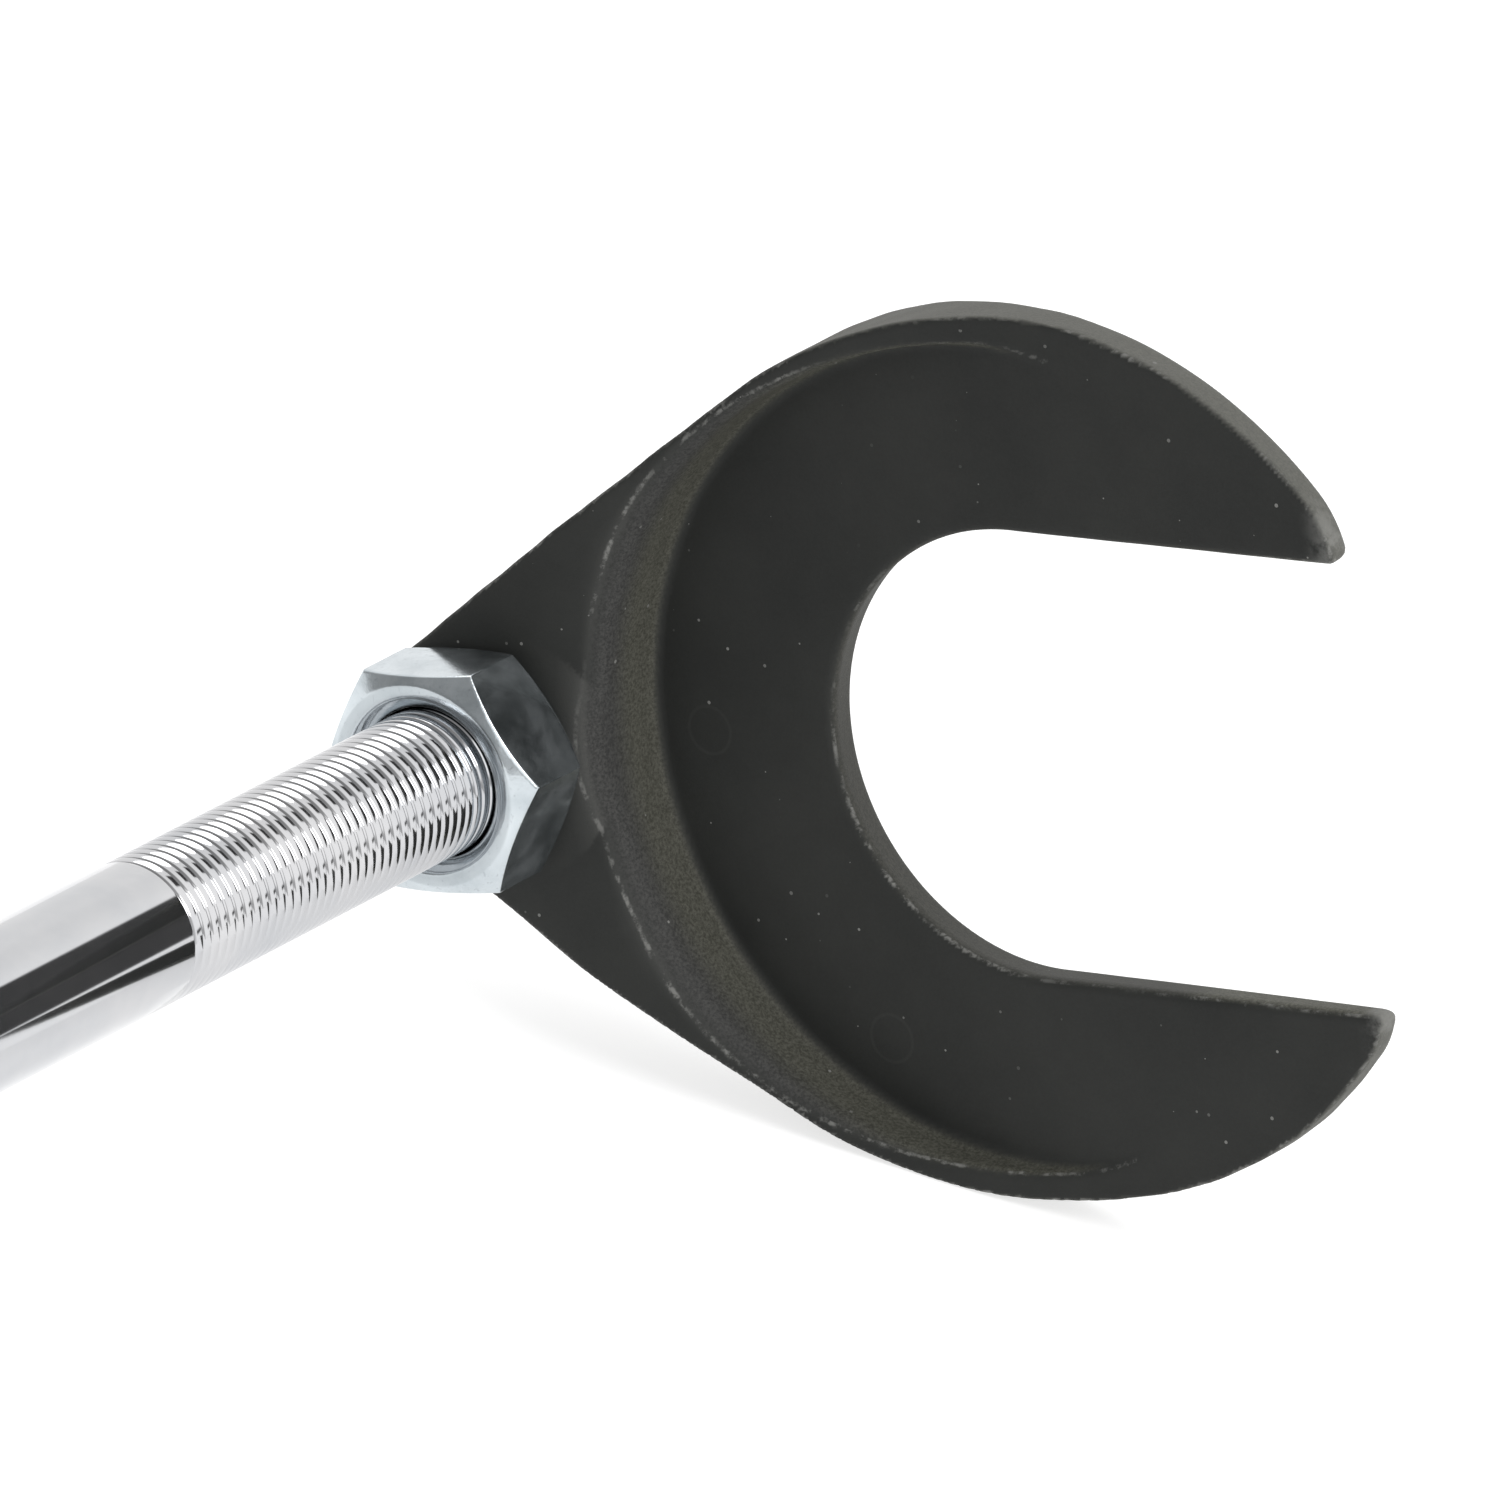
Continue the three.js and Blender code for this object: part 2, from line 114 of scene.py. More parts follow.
ANVIL_R = 22.0
ANVIL_DISC_L = 14.0
ANVIL_BOSS_R = 14.0
ANVIL_BOSS_L = 10.0
ANVIL_L = ANVIL_BOSS_L + ANVIL_DISC_L
ANVIL_REAR = -486.0
ANVIL_SCREW_L = 5.2
WASHER_R = 12.6
WASHER_L = 3.0

HUB_R = 15.0
HUB_L = 70.0
HUB_REAR = -572.0
ROD_IN_HUB = 28.3
BAR_X = -547.0
BAR_IN_HUB = BAR_X - HUB_REAR
BAR_R = 6.0
BAR_HALF = 75.0
BAR_GROOVE_R = 5.4
CAP_R = 9.0
CAP_L = 15.0
CAP_OVERLAP = 11.0
CAP_DOME = 6.0
CAP_SHANK_R = 4.0
RING_TUBE_R = 1.6
PIN_R = 2.5
PIN_BORE_R = 1.8
PIN_L = 29.0
DETENT_R = 3.0
GRUB_R = 2.8
DETENT_SCREW_L = 3.8
SOCKET_DEPTH = 2.4
SOCKET_FLATS = 2.9

# The fork's roll about the rod: its ring and the hammer weight rest on the same floor.
ROLL = math.asin((RING_R - HAMMER_R) / RING_X)
FORWARD = Vector((1, 0, 0))
TO_MOUTH = Vector((0, -math.cos(ROLL), math.sin(ROLL)))
ACROSS = Vector((0, math.sin(ROLL), math.cos(ROLL)))
FORK_FRAME = Matrix((TO_MOUTH, ACROSS, -FORWARD)).transposed().to_4x4()


# ---- Mesh helpers ----------------------------------------------------------------------------

def new_object(name, vertices, faces):
    """A mesh object from millimetre coordinates."""
    mesh = bpy.data.meshes.new(name)
    mesh.from_pydata((np.asarray(vertices) * MM).tolist(), [], faces)
    mesh.update()
    mesh.polygons.foreach_set("use_smooth", [True] * len(mesh.polygons))
    obj = bpy.data.objects.new(name, mesh)
    bpy.context.scene.collection.objects.link(obj)
    return obj


def smax(a, b, k):
    """Maximum of two fields with the edge between them rounded over k."""
    h = np.maximum(k - np.abs(a - b), 0) / k
    return np.maximum(a, b) + h * h * k / 4


def smin(a, b, k):
    return -smax(-a, -b, k)


# The eight corners of a grid cell, and the pairs of corners that its edges join.
CORNERS = np.array([(i, j, k) for i in (0, 1) for j in (0, 1) for k in (0, 1)])
CELL_EDGES = [
    (a, b) for a in range(8) for b in range(a + 1, 8)
    if np.abs(CORNERS[a] - CORNERS[b]).sum() == 1
]


def gradient(field, p, h=0.02):
    """Slope of a field at points, by central differences."""
    out = np.empty_like(p)
    for axis in range(3):
        step = np.zeros(3)
        step[axis] = h
        out[:, axis] = (field(*(p + step).T) - field(*(p - step).T)) / (2 * h)
    return out


def field_mesh(field, low, high, step):
    """Surface nets: the zero surface of a field as vertices and quads, snapped onto the field."""
    axes = [np.arange(lo, hi + step, step) for lo, hi in zip(low, high)]
    grid = field(*np.meshgrid(*axes, indexing="ij"))
    inside = grid < 0
    shape = np.array(grid.shape) - 1
    count = np.zeros(shape, np.int8)
    for c in CORNERS:
        count += inside[c[0]:c[0] + shape[0], c[1]:c[1] + shape[1], c[2]:c[2] + shape[2]]
    cells = np.argwhere((count > 0) & (count < 8))
    index = -np.ones(shape, np.int64)
    index[tuple(cells.T)] = np.arange(len(cells))
    values = np.stack([grid[tuple((cells + c).T)] for c in CORNERS], 1)
    total = np.zeros((len(cells), 3))
    hits = np.zeros(len(cells))
    for a, b in CELL_EDGES:
        va, vb = values[:, a], values[:, b]
        cross = (va < 0) != (vb < 0)
        t = np.where(cross, va / np.where(va == vb, 1, va - vb), 0)[:, None]
        total += np.where(cross[:, None], CORNERS[a] + t * (CORNERS[b] - CORNERS[a]), 0)
        hits += cross
    points = np.array(low) + (cells + total / hits[:, None]) * step
    for _ in range(3):
        slope = gradient(field, points)
        size = np.maximum((slope ** 2).sum(1), 0.2)
        move = (field(*points.T) / size)[:, None] * slope
        points -= np.clip(move, -step / 2, step / 2)
    quads = []
    for axis in range(3):
        ahead = np.roll(inside, -1, axis)
        change = inside != ahead
        at = np.argwhere(change)
        at = at[at[:, axis] < shape[axis]]
        u, v = [d for d in range(3) if d != axis]
        at = at[(at[:, u] > 0) & (at[:, v] > 0) & (at[:, u] < shape[u]) & (at[:, v] < shape[v])]
        ring = []
        for du, dv in ((0, 0), (-1, 0), (-1, -1), (0, -1)):
            cell = at.copy()
            cell[:, u] += du
            cell[:, v] += dv
            ring.append(index[tuple(cell.T)])
        quad = np.stack(ring, 1)
        flip = inside[tuple(at.T)] ^ (axis == 1)
        quad[~flip] = quad[~flip][:, ::-1]
        quads.append(quad[(quad >= 0).all(1)])
    return points, np.concatenate(quads)


def sculpt(name, field, radius, length, step, margin=1.0):
    """An object from a field that runs along X from 0, with some room round it."""
    reach = radius + margin
    low, high = (-margin, -reach, -reach), (length + margin, reach, reach)
    points, quads = field_mesh(field, low, high, step)
    return new_object(name, points, quads.tolist())


def store(obj, key, values):
    """Keeps one number for each vertex, for the materials to read."""
    attribute = obj.data.attributes.new(key, "FLOAT", "POINT")
    attribute.data.foreach_set("value", values.astype(np.float32))


def rounded(profile, radius, steps=4):
    """A closed profile with each corner replaced by a small arc."""
    out = []
    n = len(profile)
    for i in range(n):
        p, q, r = (np.array(profile[(i + d) % n], float) for d in (-1, 0, 1))
        a, b = p - q, r - q
        la, lb = np.linalg.norm(a), np.linalg.norm(b)
        cut = min(radius, la / 2.2, lb / 2.2)
        start, end = q + a / la * cut, q + b / lb * cut
        if q[1] == 0 or cut < 0.02:
            out.append(tuple(q))
            continue
        for s in range(steps + 1):
            t = s / steps
            out.append(tuple((1 - t) ** 2 * start + 2 * t * (1 - t) * q + t ** 2 * end))
    return out


def turned(name, profile, segments=96, radius=0.5, axis="x", centre=(0, 0, 0), sharp_deg=40):
    """A piece turned about X or Y, from a closed [along, radius] profile."""
    points = rounded(profile, radius) if radius else list(profile)
    keep = [p for i, p in enumerate(points) if np.hypot(*np.subtract(p, points[i - 1])) > 1e-4]
    x = np.array([p[0] for p in keep])
    r = np.array([p[1] for p in keep])
    angle = np.arange(segments) * 2 * math.pi / segments
    rows = np.stack([
        np.repeat(x[:, None], segments, 1),
        r[:, None] * np.sin(angle),
        r[:, None] * np.cos(angle),
    ], 2).reshape(-1, 3)
    if axis == "y":
        rows = rows[:, [1, 0, 2]] * (1, 1, -1)
    rows = rows + np.array(centre)
    n = len(keep)
    faces = []
    for i in range(n):
        j = (i + 1) % n
        if r[i] < 1e-6 and r[j] < 1e-6:
            continue
        for k in range(segments):
            m = (k + 1) % segments
            faces.append((i * segments + k, i * segments + m, j * segments + m, j * segments + k))
    obj = new_object(name, rows, faces)
    tidy_mesh(obj, sharp_deg)
    return obj


def tidy_mesh(obj, sharp_deg):
    """Merges doubled points, makes the faces point out and marks sharp edges."""
    bm = bmesh.new()
    bm.from_mesh(obj.data)
    bmesh.ops.remove_doubles(bm, verts=bm.verts, dist=1e-7)
    bmesh.ops.recalc_face_normals(bm, faces=bm.faces)
    bm.to_mesh(obj.data)
    bm.free()
    if sharp_deg:
        obj.data.set_sharp_from_angle(angle=math.radians(sharp_deg))


# ---- Materials, in metres --------------------------------------------------------------------

# Two faint ring marks on the fork: their centres in its own frame, and their radius.
RING_MARKS = ((0.0198, 0.0, 0.0053), (0.0385, -0.0324, 0.0053))
RING_MARK_R = 0.0026


def new_material(name):
    """A new material, with its node tree and its Principled shader."""
    material = bpy.data.materials.new(name)
    material.use_nodes = True
    return material, material.node_tree, material.node_tree.nodes["Principled BSDF"]


def add(tree, kind, inputs=None, **settings):
    """Adds a node; inputs may hold values or sockets to link from."""
    node = tree.nodes.new(kind)
    for key, value in settings.items():
        setattr(node, key, value)
    for key, value in (inputs or {}).items():
        if isinstance(value, bpy.types.NodeSocket):
            tree.links.new(value, node.inputs[key])
        else:
            node.inputs[key].default_value = value
    return node


def noise(tree, scale, detail, rough, vector, distortion=0.0):
    inputs = {"Vector": vector, "Scale": scale, "Detail": detail, "Roughness": rough}
    inputs["Distortion"] = distortion
    return add(tree, "ShaderNodeTexNoise", inputs).outputs["Fac"]


def ramp(tree, source, stops):
    """A colour ramp; each stop is a place and its red, green and blue."""
    node = add(tree, "ShaderNodeValToRGB", {"Fac": source})
    points = node.color_ramp.elements
    while len(points) < len(stops):
        points.new(0.5)
    for point, (place, colour) in zip(points, stops):
        point.position = place
        point.color = (*colour, 1)
    return node.outputs["Color"]


def math_node(tree, operation, a, b=0.0):
    return add(tree, "ShaderNodeMath", {0: a, 1: b}, operation=operation).outputs[0]


def times(tree, a, b):
    return math_node(tree, "MULTIPLY", a, b)


def mix(tree, factor, a, b):
    """Mixes two colours, each a socket or red, green, blue and alpha."""
    return add(tree, "ShaderNodeMix", {0: factor, 6: a, 7: b}, data_type="RGBA").outputs[2]


def spread(tree, source, low, high):
    """A 0 to 1 value laid out between two numbers."""
    inputs = {"Value": source, "To Min": low, "To Max": high}
    return add(tree, "ShaderNodeMapRange", inputs).outputs["Result"]


def drive(tree, shader, **sockets):
    """Links sockets to the shader's inputs of the same names."""
    for key, socket in sockets.items():
        tree.links.new(socket, shader.inputs[key.replace("_", " ")])


def bump(tree, shader, layers):
    """Chains bump layers of (height socket, strength, distance) onto a shader's normal."""
    normal = None
    for height, strength, distance in layers:
        inputs = {"Height": height, "Strength": strength, "Distance": distance}
        if normal:
            inputs["Normal"] = normal
        normal = add(tree, "ShaderNodeBump", inputs).outputs["Normal"]
    tree.links.new(normal, shader.inputs["Normal"])


def ramp_mask(tree, source, low, high):
    """0 below low, 1 above high, smooth between them."""
    inputs = {"Value": source, "From Min": low, "From Max": high}
    return add(tree, "ShaderNodeMapRange", inputs, interpolation_type="SMOOTHSTEP").outputs["Result"]


def distance_to(tree, vector, point):
    """Distance from a point, for spot marks in object space."""
    node = add(tree, "ShaderNodeVectorMath", {0: vector, 1: point}, operation="DISTANCE")
    return node.outputs["Value"]


def forging_place(tree):
    """Object coordinates turned back into the fork's own frame: its Z runs along the rod."""
    turned_back = FORK_FRAME.to_3x3().transposed().to_euler()
    placed = {"Vector": add(tree, "ShaderNodeTexCoord").outputs["Object"], "Rotation": turned_back}
    return add(tree, "ShaderNodeMapping", placed).outputs["Vector"]


def forging_walls(tree, grit, place, height):
    """Grainy walls: olive and lighter low in the pocket, with painted shade on the slot's walls and
    painted light on the outer walls.
    """
    grey = ramp(tree, grit, [(0.38, (0.029, 0.029, 0.028)), (0.62, (0.064, 0.064, 0.061))])
    olive = ramp(tree, grit, [(0.38, (0.044, 0.044, 0.034)), (0.62, (0.098, 0.097, 0.080))])
    walls = mix(tree, ramp_mask(tree, height, 0.0135, 0.009), grey, olive)
    from_pocket = distance_to(tree, place, (POCKET_X * MM, 0.0, SEAT * MM))
    # Painted shade: walls near the pocket's middle, in the slot, are darkened.
    shaded = mix(tree, 0.6, walls, (0.02, 0.02, 0.02, 1))
    walls = mix(tree, ramp_mask(tree, from_pocket, 0.034, 0.029), walls, shaded)
    # Painted light: walls far from the pocket's middle, round the outside, are lightened.
    painted_outer_light = mix(tree, 0.5, walls, (0.13, 0.13, 0.122, 1))
    return mix(tree, ramp_mask(tree, from_pocket, 0.0472, 0.048), walls, painted_outer_light)


def forging_specks(tree, place):
    """Small light specks of dust, of many sizes and strengths."""
    dust = add(tree, "ShaderNodeTexVoronoi", {"Vector": place, "Scale": 640})
    chosen = add(tree, "ShaderNodeSeparateColor", {0: dust.outputs["Color"]}).outputs
    size = times(tree, chosen["Green"], 0.14)
    near = math_node(tree, "LESS_THAN", dust.outputs["Distance"], size)
    return times(tree, near, ramp_mask(tree, chosen["Red"], 0.6, 0.95))


def forging_wear(tree, place, along):
    """Bright wear: broken lines on rubbed edges, the arms' tips and two faint ring marks."""
    edge = add(tree, "ShaderNodeAttribute", attribute_name="rub").outputs["Fac"]
    broken = ramp_mask(tree, noise(tree, 420, 5, 0.75, place), 0.44, 0.62)
    patchy = times(tree, broken, ramp_mask(tree, noise(tree, 30, 3, 0.6, place), 0.4, 0.62))
    worn = times(tree, ramp_mask(tree, edge, 0.1, 0.7), times(tree, patchy, 0.6))
    scuffs = ramp_mask(tree, noise(tree, 300, 4, 0.7, place), 0.4, 0.65)
    tips = times(tree, ramp_mask(tree, along, 0.0975, 0.1025), scuffs)
    worn = math_node(tree, "MAXIMUM", worn, times(tree, tips, 0.6))
    for centre in RING_MARKS:
        gap = math_node(tree, "SUBTRACT", distance_to(tree, place, centre), RING_MARK_R)
        line = ramp_mask(tree, math_node(tree, "ABSOLUTE", gap), 0.0003, 0.00005)
        worn = math_node(tree, "MAXIMUM", worn, times(tree, line, 0.02))
    return worn


def forging_material():
    """Scale-blackened drop forging: dark skin, grainy walls lightened with painted light, thin worn
    edges and faint tool marks.
    """
    material, tree, shader = new_material("black_forging")
    place = forging_place(tree)
    part = add(tree, "ShaderNodeSeparateXYZ", {0: place}).outputs
    cloud = noise(tree, 45, 6, 0.6, place)
    grit = noise(tree, 2900, 4, 0.7, place)
    fine = noise(tree, 5200, 2, 0.6, place)
    steep = add(tree, "ShaderNodeAttribute", attribute_name="steep").outputs["Fac"]
    skin = ramp(tree, cloud, [(0.3, (0.017, 0.018, 0.017)), (0.7, (0.026, 0.027, 0.025))])
    # Steep walls take a grainy colour lighter than the flat skin: the grain is the walls' own, and the
    # extra lightness is painted light standing in for the light the walls catch.
    skin = mix(tree, steep, skin, forging_walls(tree, grit, place, part["Z"]))
    skin = mix(tree, forging_specks(tree, place), skin, (0.2, 0.2, 0.19, 1))
    worn = forging_wear(tree, place, part["X"])
    colour = mix(tree, worn, skin, (0.30, 0.30, 0.285, 1))
    shader.inputs["Specular IOR Level"].default_value = 0.25
    drive(tree, shader, Base_Color=colour, Metallic=times(tree, worn, 0.6))
    drive(tree, shader, Roughness=spread(tree, grit, 0.55, 0.8))
    rugged = times(tree, grit, math_node(tree, "ADD", steep, 0.25))
    bump(tree, shader, [(cloud, 0.15, 0.0006), (rugged, 0.5, 0.00011), (fine, 0.15, 0.00004)])
    return material


def chrome_material():
    """Bright hard chrome with faint drawing lines round the rod and a few dull patches."""
    material, tree, shader = new_material("chromed_rod")
    place = add(tree, "ShaderNodeTexCoord").outputs["Object"]
    lines = add(tree, "ShaderNodeMapping", {"Vector": place, "Scale": (900, 60, 60)})
    drawn = noise(tree, 1, 3, 0.6, lines.outputs["Vector"])
    patch = noise(tree, 45, 5, 0.6, place)
    plate = ramp(tree, patch, [(0.35, (0.52, 0.53, 0.55)), (0.6, (0.60, 0.60, 0.61))])
    shader.inputs["Metallic"].default_value = 1.0
    drive(tree, shader, Base_Color=plate, Roughness=spread(tree, patch, 0.05, 0.12))
    bump(tree, shader, [(drawn, 0.02, 0.00003), (patch, 0.03, 0.0003)])
    return material


def zinc_material():
    """Bright bluish zinc plate over a rolled blank: mottled, duller on the faces, with painted shadow
    round the bore.
    """
    material, tree, shader = new_material("zinc_nut")
    coordinates = add(tree, "ShaderNodeTexCoord").outputs
    place = coordinates["Object"]
    mottle = noise(tree, 170, 6, 0.62, place, 0.4)
    grain = noise(tree, 1800, 3, 0.6, place)
    tones = [(0.34, (0.50, 0.55, 0.58)), (0.5, (0.59, 0.64, 0.67)), (0.68, (0.67, 0.72, 0.75))]
    fleck = times(tree, ramp_mask(tree, grain, 0.6, 0.7), 0.3)
    plate = mix(tree, fleck, ramp(tree, mottle, tones), (0.26, 0.29, 0.33, 1))
    dull = math_node(tree, "ADD", fleck, ramp_mask(tree, mottle, 0.3, 0.75))
    parts = add(tree, "ShaderNodeSeparateXYZ", {0: place}).outputs
    across = add(tree, "ShaderNodeCombineXYZ", {"Y": parts["Y"], "Z": parts["Z"]}).outputs["Vector"]
    out = add(tree, "ShaderNodeVectorMath", {0: across}, operation="LENGTH").outputs["Value"]
    # Painted shadow: the plate darkens close to the bore, where the countersink falls in shade.
    painted_bore_shadow = times(tree, ramp_mask(tree, out, 0.0086, 0.0082), 0.9)
    plate = mix(tree, painted_bore_shadow, plate, (0.03, 0.035, 0.04, 1))
    facing = add(tree, "ShaderNodeSeparateXYZ", {0: coordinates["Normal"]}).outputs["X"]
    face = ramp_mask(tree, math_node(tree, "ABSOLUTE", facing), 0.88, 0.98)
    plate = mix(tree, times(tree, face, 0.4), plate, (0.3, 0.33, 0.35, 1))
    drive(tree, shader, Base_Color=plate, Metallic=spread(tree, dull, 0.99, 0.9))
    drive(tree, shader, Roughness=spread(tree, mottle, 0.2, 0.1))
    bump(tree, shader, [(mottle, 0.12, 0.0003), (grain, 0.12, 0.00005)])
    return material


def steel_material(name, dark, light, rough_range, turned_lines):
    """Turned steel: a blackened or bright skin with tool lines round the axis and light flecks."""
    material, tree, shader = new_material(name)
    place = add(tree, "ShaderNodeTexCoord").outputs["Object"]
    cloud = noise(tree, 70, 5, 0.62, place)
    lines = add(tree, "ShaderNodeMapping", {"Vector": place, "Scale": turned_lines})
    tooling = noise(tree, 1, 2, 0.5, lines.outputs["Vector"])
    skin = mix(tree, ramp_mask(tree, cloud, 0.35, 0.65), (*dark, 1), (*light, 1))
    fleck = ramp_mask(tree, noise(tree, 1500, 2, 0.5, place), 0.66, 0.74)
    skin = mix(tree, fleck, skin, (*(3 * c for c in light), 1))
    shader.inputs["Metallic"].default_value = 0.85
    drive(tree, shader, Base_Color=skin, Roughness=spread(tree, cloud, *rough_range))
    bump(tree, shader, [(tooling, 0.12, 0.00006), (cloud, 0.08, 0.0004)])
    return material


def rubber_material():
    """Matt moulded rubber with a fine skin grain and dusty patches."""
    material, tree, shader = new_material("black_rubber")
    place = add(tree, "ShaderNodeTexCoord").outputs["Object"]
    grain = noise(tree, 1200, 4, 0.7, place)
    dust = noise(tree, 40, 5, 0.6, place)
    skin = ramp(tree, dust, [(0.35, (0.012, 0.012, 0.013)), (0.7, (0.034, 0.033, 0.032))])
    drive(tree, shader, Base_Color=skin, Roughness=spread(tree, grain, 0.68, 0.92))
    bump(tree, shader, [(grain, 0.35, 0.00008)])
    return material


def bronze_material():
    """Sintered bronze: fine pores and a browned, oily tint."""
    material, tree, shader = new_material("bronze_bush")
    place = add(tree, "ShaderNodeTexCoord").outputs["Object"]
    pores = noise(tree, 2200, 3, 0.7, place)
    tint = noise(tree, 120, 4, 0.6, place)
    skin = ramp(tree, tint, [(0.35, (0.22, 0.12, 0.045)), (0.65, (0.40, 0.24, 0.10))])
    skin = mix(tree, ramp_mask(tree, pores, 0.6, 0.7), skin, (0.06, 0.035, 0.015, 1))
    shader.inputs["Metallic"].default_value = 0.9
    drive(tree, shader, Base_Color=skin, Roughness=spread(tree, tint, 0.3, 0.48))
    bump(tree, shader, [(pores, 0.3, 0.00005)])
    return material


# ---- Fork ------------------------------------------------------------------------------------

def fork_outline(x, y):
    """Distance to the outline: a round neck widening into the ring, then arms that close in."""
    side = np.abs(y)
    lean = (NECK_R - RING_R) / RING_X
    rise = math.sqrt(1 - lean * lean)
    along = rise * x - lean * side
    flank = rise * side + lean * x - NECK_R
    neck = np.where(along < 0, np.hypot(x, side) - NECK_R, flank)
    ring = np.hypot(x - RING_X, side) - RING_R
    arm = np.hypot(x - RING_X, side + ARM_R - RING_R) - ARM_R
    body = np.where(along > rise * RING_X, ring, neck)
    return np.where(x > RING_X, arm, body)


def rim_dish(x, y, outline, wall):
    """How far the rim's face falls from its outer edge to the pocket; flat under the lock nut."""
    outward = np.maximum(-outline, 0.01)
    width = outward + np.maximum(-wall, 0)
    clear = np.clip((np.hypot(x, y) - NUT_SEAT_R) / 4, 0, 1)
    fade = np.clip((RAMP_END_X - x) / 40, 0, 1)
    return np.minimum(DISH, DISH_SLOPE * width) * (outward / width) ** 2 * clear * fade


def fork_parts(x, y, z):
    """The fork's bounding surfaces as fields: outline, ramped top, pocket wall, seat, back, slot."""
    waves = 0.10 * np.sin(0.31 * x + 1.3) * np.sin(0.27 * y + 0.4)
    wobble = waves + 0.05 * np.sin(0.83 * x + 0.6 * y + z)
    outline = smax(fork_outline(x, y) + wobble * 0.5, x - TIP_X, 3.0)
    slope = (SEAT - NECK_DEPTH) / (RAMP_END_X - CREASE_X)
    ramp_plane = (z - NECK_DEPTH - slope * (x - CREASE_X)) / math.hypot(1, slope)
    wall = POCKET_R + POCKET_DRAFT * (z - SEAT) - np.hypot(x - POCKET_X, y) + wobble * 0.4
    top = smax(z - NECK_DEPTH, ramp_plane, 1.0) + wobble * 0.5 + rim_dish(x, y, outline, wall)
    back = smax(-z, (x - TAPER_X) * (SEAT - TIP_DEPTH) / (TIP_X - TAPER_X) - z, 2.0)
    channel = np.maximum(np.abs(y + SLOT_SKEW * (x - SLOT_X)) - SLOT_R, SLOT_X - x)
    slot_end = np.hypot(x - SLOT_X - SLOT_RAKE * z, y) - SLOT_R
    slot = SLOT_DRAFT * (SEAT - z) - np.minimum(slot_end, channel)
    return outline, top, wall, z - SEAT + wobble * 0.3, back, slot


def ridge_softness(x):
    """How much softer the rim's ridge is towards the neck."""
    return 1.4 * np.clip((SOFT_RIDGE_X - x) / 30, 0, 1)


def fork_field(x, y, z):
    """The whole fork: x runs to its mouth, y across it and z from its flat back to the handle."""
    outline, top, wall, seat, back, slot = fork_parts(x, y, z)
    front = smin(smax(top, wall, 0.8 + ridge_softness(x)), seat, 1.4)
    body = smax(smax(outline, front, 0.5), back, 1.4)
    body = smax(body, slot, 1.2)
    return smax(body, ROD_R + FIT_GAP - np.hypot(x, y), 0.8)


def fork_rub(points):
    """Where edges are rubbed bright: thin lines along the fork's corners."""
    outline, top, wall, seat, back, slot = fork_parts(*points.T)
    front = np.minimum(np.maximum(top, wall), seat)
    ridge = wall + ridge_softness(points[:, 0])
    corners = (
        (top, ridge, 0.3), (outline, front, 0.3), (outline, back, 0.3),
        (front, slot, 0.35), (back, slot, 0.35),
    )
    rub = np.zeros(len(points))
    for a, b, width in corners:
        corner = (np.minimum(a, b) > -1.0) & (np.maximum(a, b) < 0.6)
        rub = np.maximum(rub, corner * np.clip(1 - np.abs(a - b) / width, 0, 1))
    return rub


def make_fork(name):
    """The fork, with its steep walls and rubbed edges stored for its material."""
    low, high = (-17.2, -50.8, -1.4), (103.4, 50.8, 20.8)
    points, quads = field_mesh(fork_field, low, high, 0.42)
    fork = new_object(name, points, quads.tolist())
    slope = gradient(fork_field, points)
    upright = np.abs(slope[:, 2]) / np.maximum(np.linalg.norm(slope, axis=1), 1e-6)
    store(fork, "steep", np.clip((0.9 - upright) / 0.5, 0, 1))
    store(fork, "rub", fork_rub(points))
    fork.data.transform(FORK_FRAME)
    return fork


# ---- Nuts ------------------------------------------------------------------------------------

def nut_field(x, y, z):
    """A hexagon nut from x = 0 with a corner at +Y, chamfered and countersunk at both ends."""
    r = np.hypot(y, z)
    flats = np.maximum(np.abs(z), np.abs(y) * math.cos(math.pi / 6) + np.abs(z) / 2) - NUT_FLATS / 2
    depth = np.minimum(x, NUT_HEIGHT - x)
    inset = np.where(x < NUT_HEIGHT / 2, NUT_FRONT_INSET, NUT_BACK_INSET)
    chamfer = (r - (NUT_FLATS / 2 - inset) - math.sqrt(3) * depth) / 2
    sink = (ROD_R + FIT_GAP + NUT_SINK - depth - r) * math.sqrt(0.5)
    body = smax(flats, chamfer, 0.2)
    body = smax(body, -depth, 0.25)
    body = smax(body, sink, 0.25)
    return smax(body, ROD_R + FIT_GAP - r, 0.2)


def make_nut(name):
    corner_r = NUT_FLATS / 2 / math.cos(math.pi / 6)
    return sculpt(name, nut_field, corner_r, NUT_HEIGHT, 0.18, 0.6)


# ---- Rod -------------------------------------------------------------------------------------

# One turn of thread: places along the pitch, as a share of it, and the depth below the crest.
THREAD = [(0.0, 0.1), (0.05, 0.0), (0.62, 0.055), (0.70, 0.14), (0.80, 0.42), (0.86, 0.42)]


def thread_rows(start, end, fade, columns):
    """Rows of a helical thread between two places: each row follows the helix round the rod."""
    turns = int(math.ceil((start - end) / PITCH)) + 2
    angle = np.arange(columns + 1) / columns
    rows = []
    for turn in range(-1, turns):
        for fraction, depth in THREAD:
            x = start - (turn + fraction + angle) * PITCH
            near = np.clip(np.minimum((start - x) / fade[0], (x - end) / fade[1]), 0, 1)
            rows.append((np.clip(x, end, start), ROD_R - depth * near))
    return rows


